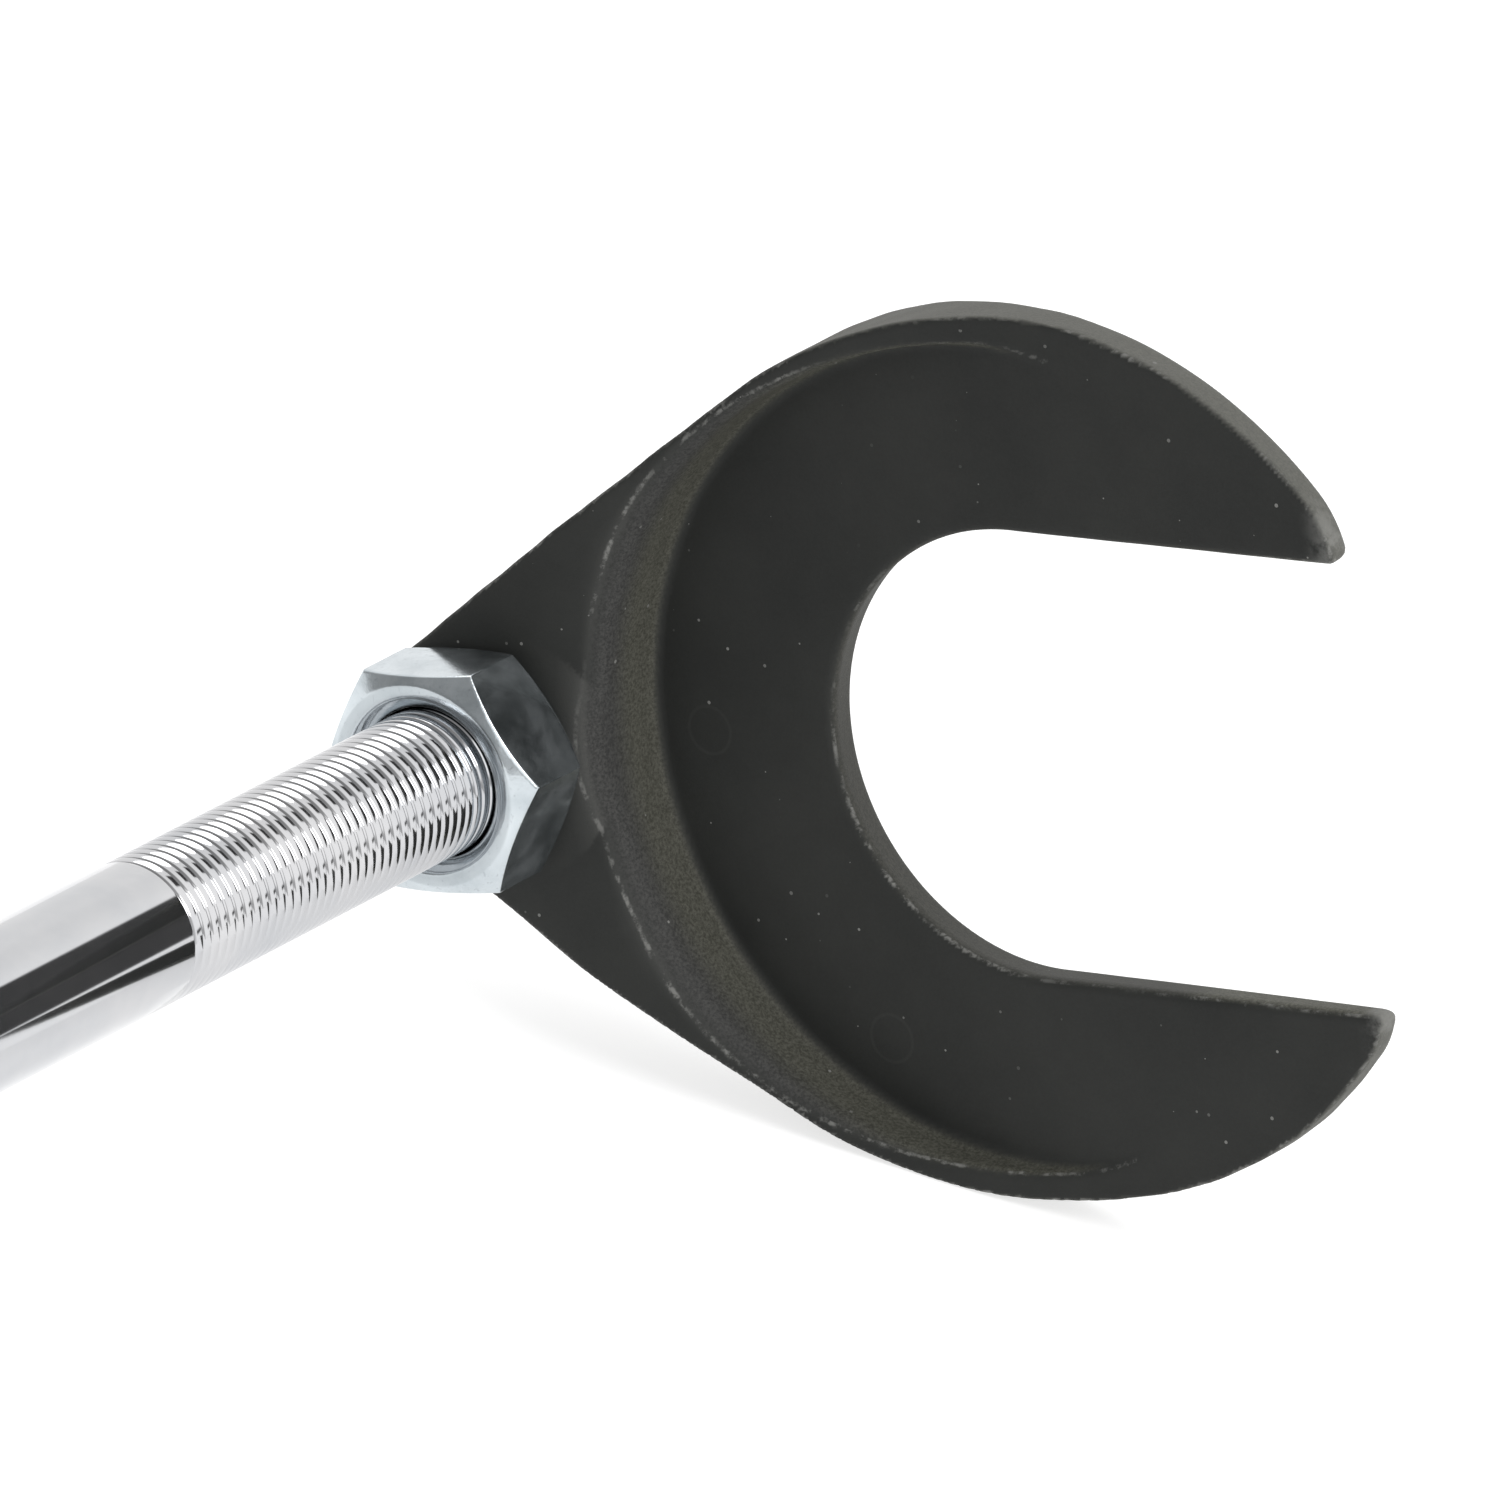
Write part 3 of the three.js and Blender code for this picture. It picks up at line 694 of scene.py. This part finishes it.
def make_rod(name):
    """The rod as one skin: front thread, plain shank and rear thread, closed at both ends."""
    columns = 96
    edge = 0.2
    end_r = ROD_R - ROD_CHAMFER
    front = thread_rows(-ROD_CHAMFER, -FRONT_THREAD, (0.1, 1.0), columns)
    rear = thread_rows(-REAR_THREAD, -ROD_L + ROD_CHAMFER, (3.0, 0.1), columns)
    flat = np.zeros(columns + 1)
    shank = [(flat + x, flat + ROD_R) for x in np.linspace(-FRONT_THREAD, -REAR_THREAD, 60)]
    head = [(flat - x, flat + r) for x, r in ((0, 0.01), (0, end_r - edge), (edge, end_r))]
    tail = [(-ROD_L - x, r) for x, r in reversed(head)]
    rows = head + front + shank + rear + tail
    angle = np.arange(columns + 1) * 2 * math.pi / columns
    x = np.array([row[0] for row in rows])
    r = np.array([row[1] for row in rows])
    points = np.stack([x, r * np.cos(angle), r * np.sin(angle)], 2).reshape(-1, 3)
    wide = columns + 1
    faces = []
    for i in range(len(rows) - 1):
        for j in range(columns):
            faces.append((i * wide + j, i * wide + j + 1, (i + 1) * wide + j + 1, (i + 1) * wide + j))
    obj = new_object(name, points, faces)
    tidy_mesh(obj, 32)
    return obj


# ---- Anvil, hub and small turned pieces ------------------------------------------------------

def anvil_field(x, y, z):
    """The anvil from x = 0: a boss that runs 8 mm into its disc, bored and drilled for a screw."""
    r = np.hypot(y, z)
    disc = smax(r - ANVIL_R, np.abs(x - ANVIL_BOSS_L - ANVIL_DISC_L / 2) - ANVIL_DISC_L / 2, 1.6)
    boss_half = (ANVIL_BOSS_L + 8) / 2
    boss = smax(r - ANVIL_BOSS_R, np.abs(x - boss_half) - boss_half, 1.2)
    body = smin(disc, boss, 2.5)
    body = smax(body, ROD_R + FIT_GAP - r, 0.7)
    hole = np.maximum(np.hypot(x - ANVIL_BOSS_L / 2, y) - DETENT_R, -z)
    return smax(body, -hole, 0.5)


def hub_field(x, y, z):
    """The handle's hub from x = 0, bored for the rod, the bar, the roll pin and the detent."""
    r = np.hypot(y, z)
    body = smax(r - HUB_R, -x, 4.5)
    body = smax(body, x - HUB_L, 3.0)
    body = smax(body, -np.maximum(r - ROD_R - FIT_GAP, HUB_L - ROD_IN_HUB - x), 0.6)
    body = smax(body, BAR_R + FIT_GAP - np.hypot(x - BAR_IN_HUB, z), 1.0)
    body = smax(body, PIN_R + FACE_GAP - np.hypot(x - HUB_L + ROD_IN_HUB / 2, y), 0.5)
    return smax(body, -np.maximum(r - DETENT_R, x - BAR_IN_HUB), 0.5)


def grub_field(length):
    """A socket grub screw from x = 0, its hexagon socket open at the far end."""
    def field(x, y, z):
        r = np.hypot(y, z)
        ridge = 0.12 * np.abs(np.mod(x / 0.8 + np.arctan2(y, z) / (2 * math.pi), 1) - 0.5)
        body = smax(r - GRUB_R + ridge, np.abs(x - length / 2) - length / 2, 0.5)
        hexagon = np.maximum(np.abs(z), np.abs(y) * 0.866 + np.abs(z) / 2) - SOCKET_FLATS / 2
        return smax(body, -np.maximum(hexagon, length - SOCKET_DEPTH - x), 0.2)
    return field


def make_grub(name, length):
    return sculpt(name, grub_field(length), GRUB_R, length, 0.13, 0.4)


def split_ring(name, inner, outer, length, gap_deg, slant_deg=0.0, bevel=0.15):
    """A ring from x = 0 with a gap at +Z: rolled pins, circlips and spring washers."""
    section = rounded([(0, inner), (0, outer), (length, outer), (length, inner)], bevel, 3)
    steps = 72
    turn = np.radians(np.linspace(gap_deg / 2, 360 - gap_deg / 2, steps))
    rows = []
    for x, r in section:
        angle = turn + math.radians(slant_deg) * (x / length - 0.5)
        rows.append(np.stack([np.full(steps, x), r * np.sin(angle), r * np.cos(angle)], 1))
    points = np.concatenate(rows)
    n = len(section)
    faces = []
    for i in range(n):
        j = (i + 1) % n
        for k in range(steps - 1):
            faces.append((i * steps + k, i * steps + k + 1, j * steps + k + 1, j * steps + k))
    faces.append([i * steps for i in range(n)])
    faces.append([i * steps + steps - 1 for i in reversed(range(n))])
    obj = new_object(name, points, faces)
    tidy_mesh(obj, 35)
    return obj


def coil(name, start, length, radius, wire, turns):
    """A compression spring along X with closed end turns."""
    around, along = 12, int(36 * turns)
    s = np.linspace(0, 1, along)
    eased = np.clip((s - 0.14) / 0.72, 0, 1)
    x = start + wire + (length - 2 * wire) * eased
    angle = s * turns * 2 * math.pi
    ring = np.arange(around) * 2 * math.pi / around
    rows = []
    for xi, a in zip(x, angle):
        reach = radius + wire * np.cos(ring)
        rows.append(np.stack([xi + wire * np.sin(ring), reach * math.sin(a), reach * math.cos(a)], 1))
    faces = []
    for i in range(along - 1):
        for k in range(around):
            m = (k + 1) % around
            faces.append((i * around + k, i * around + m, (i + 1) * around + m, (i + 1) * around + k))
    faces.append(list(range(around)))
    faces.append(list(range((along - 1) * around, along * around)))
    obj = new_object(name, np.concatenate(rows), faces)
    tidy_mesh(obj, 40)
    return obj


def hammer_profile():
    """The weight: a collar at each end, a waist between them and a pocket for each bush."""
    front = [
        (0, BUSH_R), (0, 27), (1.2, 29.2), (3.5, HAMMER_R), (24.5, HAMMER_R), (27, 29.2),
        (COLLAR_L, 27), (29.5, 24.2), (31.5, 21.6), (34, WAIST_R),
    ]
    far = HAMMER_L - POCKET_L
    pocket = [(far, BUSH_R), (far, BORE_R), (POCKET_L, BORE_R), (POCKET_L, BUSH_R)]
    return front + [(HAMMER_L - x, r) for x, r in reversed(front)] + pocket


def sleeve_profile():
    """The rubber sleeve on the waist, with round ribs."""
    step = (HAMMER_L - 2 * SLEEVE_START) / SLEEVE_RIBS
    outer = []
    for i in range(SLEEVE_RIBS * 8 + 1):
        rise = 0.5 - 0.5 * math.cos(2 * math.pi * i / 8)
        outer.append((SLEEVE_START + i * step / 8, SLEEVE_R - SLEEVE_RIB + SLEEVE_RIB * rise ** 0.6))
    return outer + [(HAMMER_L - SLEEVE_START, WAIST_R + 0.1), (SLEEVE_START, WAIST_R + 0.1)]


def circle_profile(centre, radius, steps=16):
    """A round section at [along, radius], for rings."""
    angles = [2 * math.pi * i / steps for i in range(steps)]
    return [(centre[0] + radius * math.cos(a), centre[1] + radius * math.sin(a)) for a in angles]


def half_circle(radius):
    """Half a circle round the axis, for a ball."""
    return [(radius * math.cos(a), radius * math.sin(a)) for a in np.linspace(0, math.pi, 25)]


def bar_profile(shoulder):
    """The cross bar: a groove at its middle for the ball and a turned-down end beyond each shoulder."""
    half = [
        (0, BAR_GROOVE_R), (0.8, BAR_GROOVE_R + 0.1), (1.6, BAR_R),
        (shoulder, BAR_R), (shoulder, CAP_SHANK_R), (BAR_HALF, CAP_SHANK_R),
    ]
    return [(-BAR_HALF, 0)] + [(-y, r) for y, r in reversed(half[1:])] + half + [(BAR_HALF, 0)]


def cap_profile():
    """A bar cap: a short cylinder with a dome, hollow for the bar's turned-down end."""
    foot = CAP_L - CAP_DOME
    angles = np.radians(np.arange(8, 88, 10))
    dome = [(foot + CAP_DOME * math.sin(a), CAP_R * math.cos(a) ** 0.7) for a in angles]
    depth, bore_r = CAP_OVERLAP + 2 * FIT_GAP, CAP_SHANK_R + FIT_GAP
    rim = [(0, bore_r), (0, 8.2), (0.8, CAP_R), (6.5, CAP_R)]
    return rim + dome + [(CAP_L, 0), (depth, 0), (depth, bore_r)]


# ---- Assembly --------------------------------------------------------------------------------

def mount(obj, body, node, material, matrix=None):
    """Places a piece, gives it its material and ties it to its CAD body and node."""
    if matrix is not None:
        obj.matrix_world = matrix
    obj.data.materials.clear()
    obj.data.materials.append(material)
    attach(obj, body)
    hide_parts(node)


def at(x, y=0.0, z=0.0, basis=None):
    """A placement matrix in millimetres, with an optional rotation."""
    return Matrix.Translation(Vector((x, y, z)) * MM) @ (basis or Matrix.Identity(4))


forging = forging_material()
chrome = chrome_material()
zinc = zinc_material()
black_steel = steel_material(
    "blackened_steel", (0.035, 0.036, 0.039), (0.075, 0.077, 0.082), (0.34, 0.5), (1400, 40, 40)
)
spring_steel = steel_material(
    "spring_steel", (0.12, 0.12, 0.13), (0.26, 0.26, 0.28), (0.24, 0.38), (500, 500, 500)
)
black_screw = steel_material(
    "black_screw", (0.018, 0.018, 0.02), (0.04, 0.04, 0.044), (0.4, 0.6), (500, 500, 500)
)
rubber = rubber_material()
bronze = bronze_material()

FORK_TURN = Matrix((FORWARD, TO_MOUTH, FORWARD.cross(TO_MOUTH))).transposed().to_4x4()
QUARTER_TURN = Matrix.Rotation(math.pi / 2, 4, "X")
TURN_UP = Matrix.Rotation(-math.pi / 2, 4, "Y")
FLIP = Matrix.Rotation(math.pi, 4, "Z")

mount(make_fork("fork_forging"), "fork", "fork", forging)
nut_turn = Matrix.Rotation(NUT_TURN, 4, "X") @ FORK_TURN
place = at(-NECK_DEPTH - FACE_GAP - NUT_HEIGHT, basis=nut_turn)
mount(make_nut("lock_nut_plated"), "lock_nut", "lock_nut", zinc, place)
place = at(ANVIL_REAR - WASHER_L - 2 * FACE_GAP - NUT_HEIGHT, basis=QUARTER_TURN)
mount(make_nut("rear_nut_plated"), "rod_assembly", "rear_nut", zinc, place)
mount(make_rod("rod_threaded"), "rod_assembly", "rod", chrome)

weight = turned("hammer_turned", hammer_profile(), 128, 0.6)
mount(weight, "hammer", "hammer_weight", black_steel, at(HAMMER_REAR))
sleeve = turned("hammer_sleeve_ribbed", sleeve_profile(), 112, 0, sharp_deg=50)
mount(sleeve, "hammer", "hammer_sleeve", rubber, at(HAMMER_REAR))
outer_r = BUSH_R - FIT_GAP
bush_profile = [(0, BUSH_BORE_R), (0, outer_r), (BUSH_L, outer_r), (BUSH_L, BUSH_BORE_R)]
front_places = HAMMER_L - BUSH_INSET - BUSH_L, HAMMER_L - CIRCLIP_INSET - CIRCLIP_L
for side, places in (("rear", (BUSH_INSET, CIRCLIP_INSET)), ("front", front_places)):
    bush = turned(side + "_bush_turned", bush_profile)
    bush_place, clip_place = (at(HAMMER_REAR + x) for x in places)
    mount(bush, "hammer", side + "_guide_bush", bronze, bush_place)
    clip = split_ring(side + "_circlip_bent", CIRCLIP_R, outer_r, CIRCLIP_L, 26)
    mount(clip, "hammer", side + "_circlip", spring_steel, clip_place)

anvil = sculpt("anvil_turned", anvil_field, ANVIL_R, ANVIL_L, 0.35)
mount(anvil, "rod_assembly", "anvil", black_steel, at(ANVIL_REAR))
grub = make_grub("anvil_grub_socket", ANVIL_SCREW_L)
place = at(ANVIL_REAR + ANVIL_BOSS_L / 2, 0, ROD_R + FIT_GAP + FACE_GAP, TURN_UP)
mount(grub, "rod_assembly", "anvil_grub_screw", black_screw, place)
washer = split_ring("spring_washer_split", ROD_R + FIT_GAP, WASHER_R, WASHER_L, 8, 14, 0.3)
place = at(ANVIL_REAR - WASHER_L - FACE_GAP)
mount(washer, "rod_assembly", "anvil_spring_washer", spring_steel, place)

hub = sculpt("hub_turned", hub_field, HUB_R, HUB_L, 0.38)
mount(hub, "rod_assembly", "handle_hub", black_steel, at(HUB_REAR))
roll_pin = split_ring("roll_pin_rolled", PIN_BORE_R, PIN_R, PIN_L, 26, 0, 0.25)
place = at(HUB_REAR + HUB_L - ROD_IN_HUB / 2, 0, -PIN_L / 2, TURN_UP)
mount(roll_pin, "rod_assembly", "hub_roll_pin", spring_steel, place)
ball = turned("detent_ball_ground", half_circle(DETENT_R - FIT_GAP), 48, 0, sharp_deg=0)
place = at(BAR_X - BAR_R - DETENT_R)
mount(ball, "rod_assembly", "detent_ball", spring_steel, place)
spring_start = HUB_REAR + DETENT_SCREW_L + FIT_GAP
spring_length = BAR_X - BAR_R - 2 * DETENT_R - 2 * FACE_GAP - spring_start
spring = coil("detent_spring_coiled", spring_start, spring_length, radius=2.25, wire=0.4, turns=6)
mount(spring, "rod_assembly", "detent_spring", spring_steel)
plug = make_grub("detent_screw_socket", DETENT_SCREW_L)
place = at(HUB_REAR + DETENT_SCREW_L + FACE_GAP, basis=FLIP)
mount(plug, "rod_assembly", "detent_screw", black_screw, place)

cap_start = BAR_HALF - CAP_OVERLAP
bar = turned("tommy_bar_plated", bar_profile(cap_start), 72, 0.4, axis="y")
mount(bar, "bar", "tommy_bar", chrome, at(BAR_X))
cap_start += FACE_GAP
ring_y = cap_start - RING_TUBE_R - 2 * FACE_GAP
ring_profile = circle_profile((0, BAR_R + RING_TUBE_R + FACE_GAP), RING_TUBE_R)
for side, facing in (("left", Matrix.Identity(4)), ("right", FLIP)):
    place = at(BAR_X, basis=facing)
    cap = turned("cap_" + side, cap_profile(), 72, 0.3, "y", (0, cap_start, 0), 45)
    mount(cap, "bar", "bar_cap_" + side, black_steel, place)
    o_ring = turned("o_ring_" + side, ring_profile, 72, 0, "y", (0, ring_y, 0), 0)
    mount(o_ring, "bar", "bar_ring_" + side, rubber, place)


# ---- Studio ----------------------------------------------------------------------------------

def make_floor():
    """A wide pale sheet under the tool."""
    size = 12000
    corners = [(x * size, y * size, -HAMMER_R) for x, y in ((-1, -1), (1, -1), (1, 1), (-1, 1))]
    floor = new_object("studio_floor", corners, [(0, 1, 2, 3)])
    material, _, shader = new_material("studio_paper")
    shader.inputs["Base Color"].default_value = (0.45, 0.45, 0.45, 1)
    shader.inputs["Roughness"].default_value = 0.9
    shader.inputs["Specular IOR Level"].default_value = 0.1
    shader.inputs["Emission Color"].default_value = (1, 1, 1, 1)
    shader.inputs["Emission Strength"].default_value = 0.7
    floor.data.materials.append(material)


# Dark flags as ranges of the direction's forward part and of its turn round the rod in degrees.
FLAGS = (((0.72, 0.92), (112, 177)), ((0.5, 0.72), (84, 104)), ((0.5, 0.7), (168, 173)))


def band(tree, value, low, high, soft):
    """1 between low and high, 0 outside, with soft ends."""
    rise = ramp_mask(tree, value, low - soft, low + soft)
    fall = ramp_mask(tree, value, high + soft, high - soft)
    return times(tree, rise, fall)


def make_world():
    """A pale room, darker behind the handle, with dark flags that the bright parts mirror."""
    world = bpy.data.worlds.new("studio")
    bpy.context.scene.world = world
    world.use_nodes = True
    tree = world.node_tree
    direction = add(tree, "ShaderNodeTexCoord").outputs["Generated"]
    parts = add(tree, "ShaderNodeSeparateXYZ", {0: direction}).outputs
    behind = ramp_mask(tree, parts["X"], 0.25, -0.45)
    mouth_side = ramp_mask(tree, parts["Y"], 0.3, -0.6)
    near_camera = ramp_mask(tree, distance_to(tree, direction, (-0.72, -0.5, 0.48)), 0.42, 0.3)
    level = math_node(tree, "SUBTRACT", 1.05, times(tree, behind, 0.75))
    level = math_node(tree, "ADD", level, times(tree, mouth_side, 0.25))
    level = math_node(tree, "ADD", level, times(tree, near_camera, 0.8))
    turn = math_node(tree, "ARCTAN2", parts["Z"], parts["Y"])
    for ahead, around in FLAGS:
        along = band(tree, parts["X"], ahead[0], ahead[1], 0.02)
        across = band(tree, turn, math.radians(around[0]), math.radians(around[1]), 0.03)
        flag = times(tree, times(tree, along, across), 0.95)
        level = times(tree, level, math_node(tree, "SUBTRACT", 1.0, flag))
    background = tree.nodes["Background"]
    tree.links.new(level, background.inputs["Color"])
    background.inputs["Strength"].default_value = 1.0


def area_light(name, place, target, size, power):
    """A round softbox at a place, turned towards its target."""
    data = bpy.data.lights.new(name, "AREA")
    data.shape = "DISK"
    data.size = size
    data.energy = power
    light = bpy.data.objects.new(name, data)
    bpy.context.scene.collection.objects.link(light)
    aim = (Vector(target) - Vector(place)).to_track_quat("-Z", "Y")
    light.matrix_world = Matrix.Translation(place) @ aim.to_matrix().to_4x4()


# The camera's axes by their shares towards the fork's mouth, across the fork and along +X.
CAMERA_RIGHT = (0.82139, -0.11294, 0.55912)
CAMERA_DOWN = (0.06851, -0.95361, -0.29326)
CAMERA_AIM_X = -0.0175
CAMERA_SHIFT_RIGHT = 0.02728
CAMERA_SHIFT_DOWN = -0.000136
CAMERA_DISTANCE = 4.353


def by_shares(mouth, across, forward):
    """A direction from its shares along the fork's own directions."""
    return mouth * TO_MOUTH + across * ACROSS + forward * FORWARD


def make_camera():
    """A long lens on the fork, looking forward along the rod from behind and above."""
    right = by_shares(*CAMERA_RIGHT).normalized()
    ahead = right.cross(by_shares(*CAMERA_DOWN)).normalized()
    down = ahead.cross(right)
    target = CAMERA_AIM_X * FORWARD + CAMERA_SHIFT_RIGHT * right + CAMERA_SHIFT_DOWN * down
    data = bpy.data.cameras.new("camera")
    data.lens = 1000
    data.sensor_width = 36
    data.clip_end = 100
    camera = bpy.data.objects.new("camera", data)
    bpy.context.scene.collection.objects.link(camera)
    turn = Matrix((right, -down, -ahead)).transposed().to_4x4()
    camera.matrix_world = Matrix.Translation(target - CAMERA_DISTANCE * ahead) @ turn
    bpy.context.scene.camera = camera


make_floor()
make_world()
make_camera()
area_light("key", (-0.3, -1.3, 1.5), (-0.05, 0, 0), 1.0, 16)
area_light("softbox", (0.85, 0.88, 1.29), (-0.05, 0, 0), 1.0, 7)
bpy.context.scene.view_settings.view_transform = "Standard"
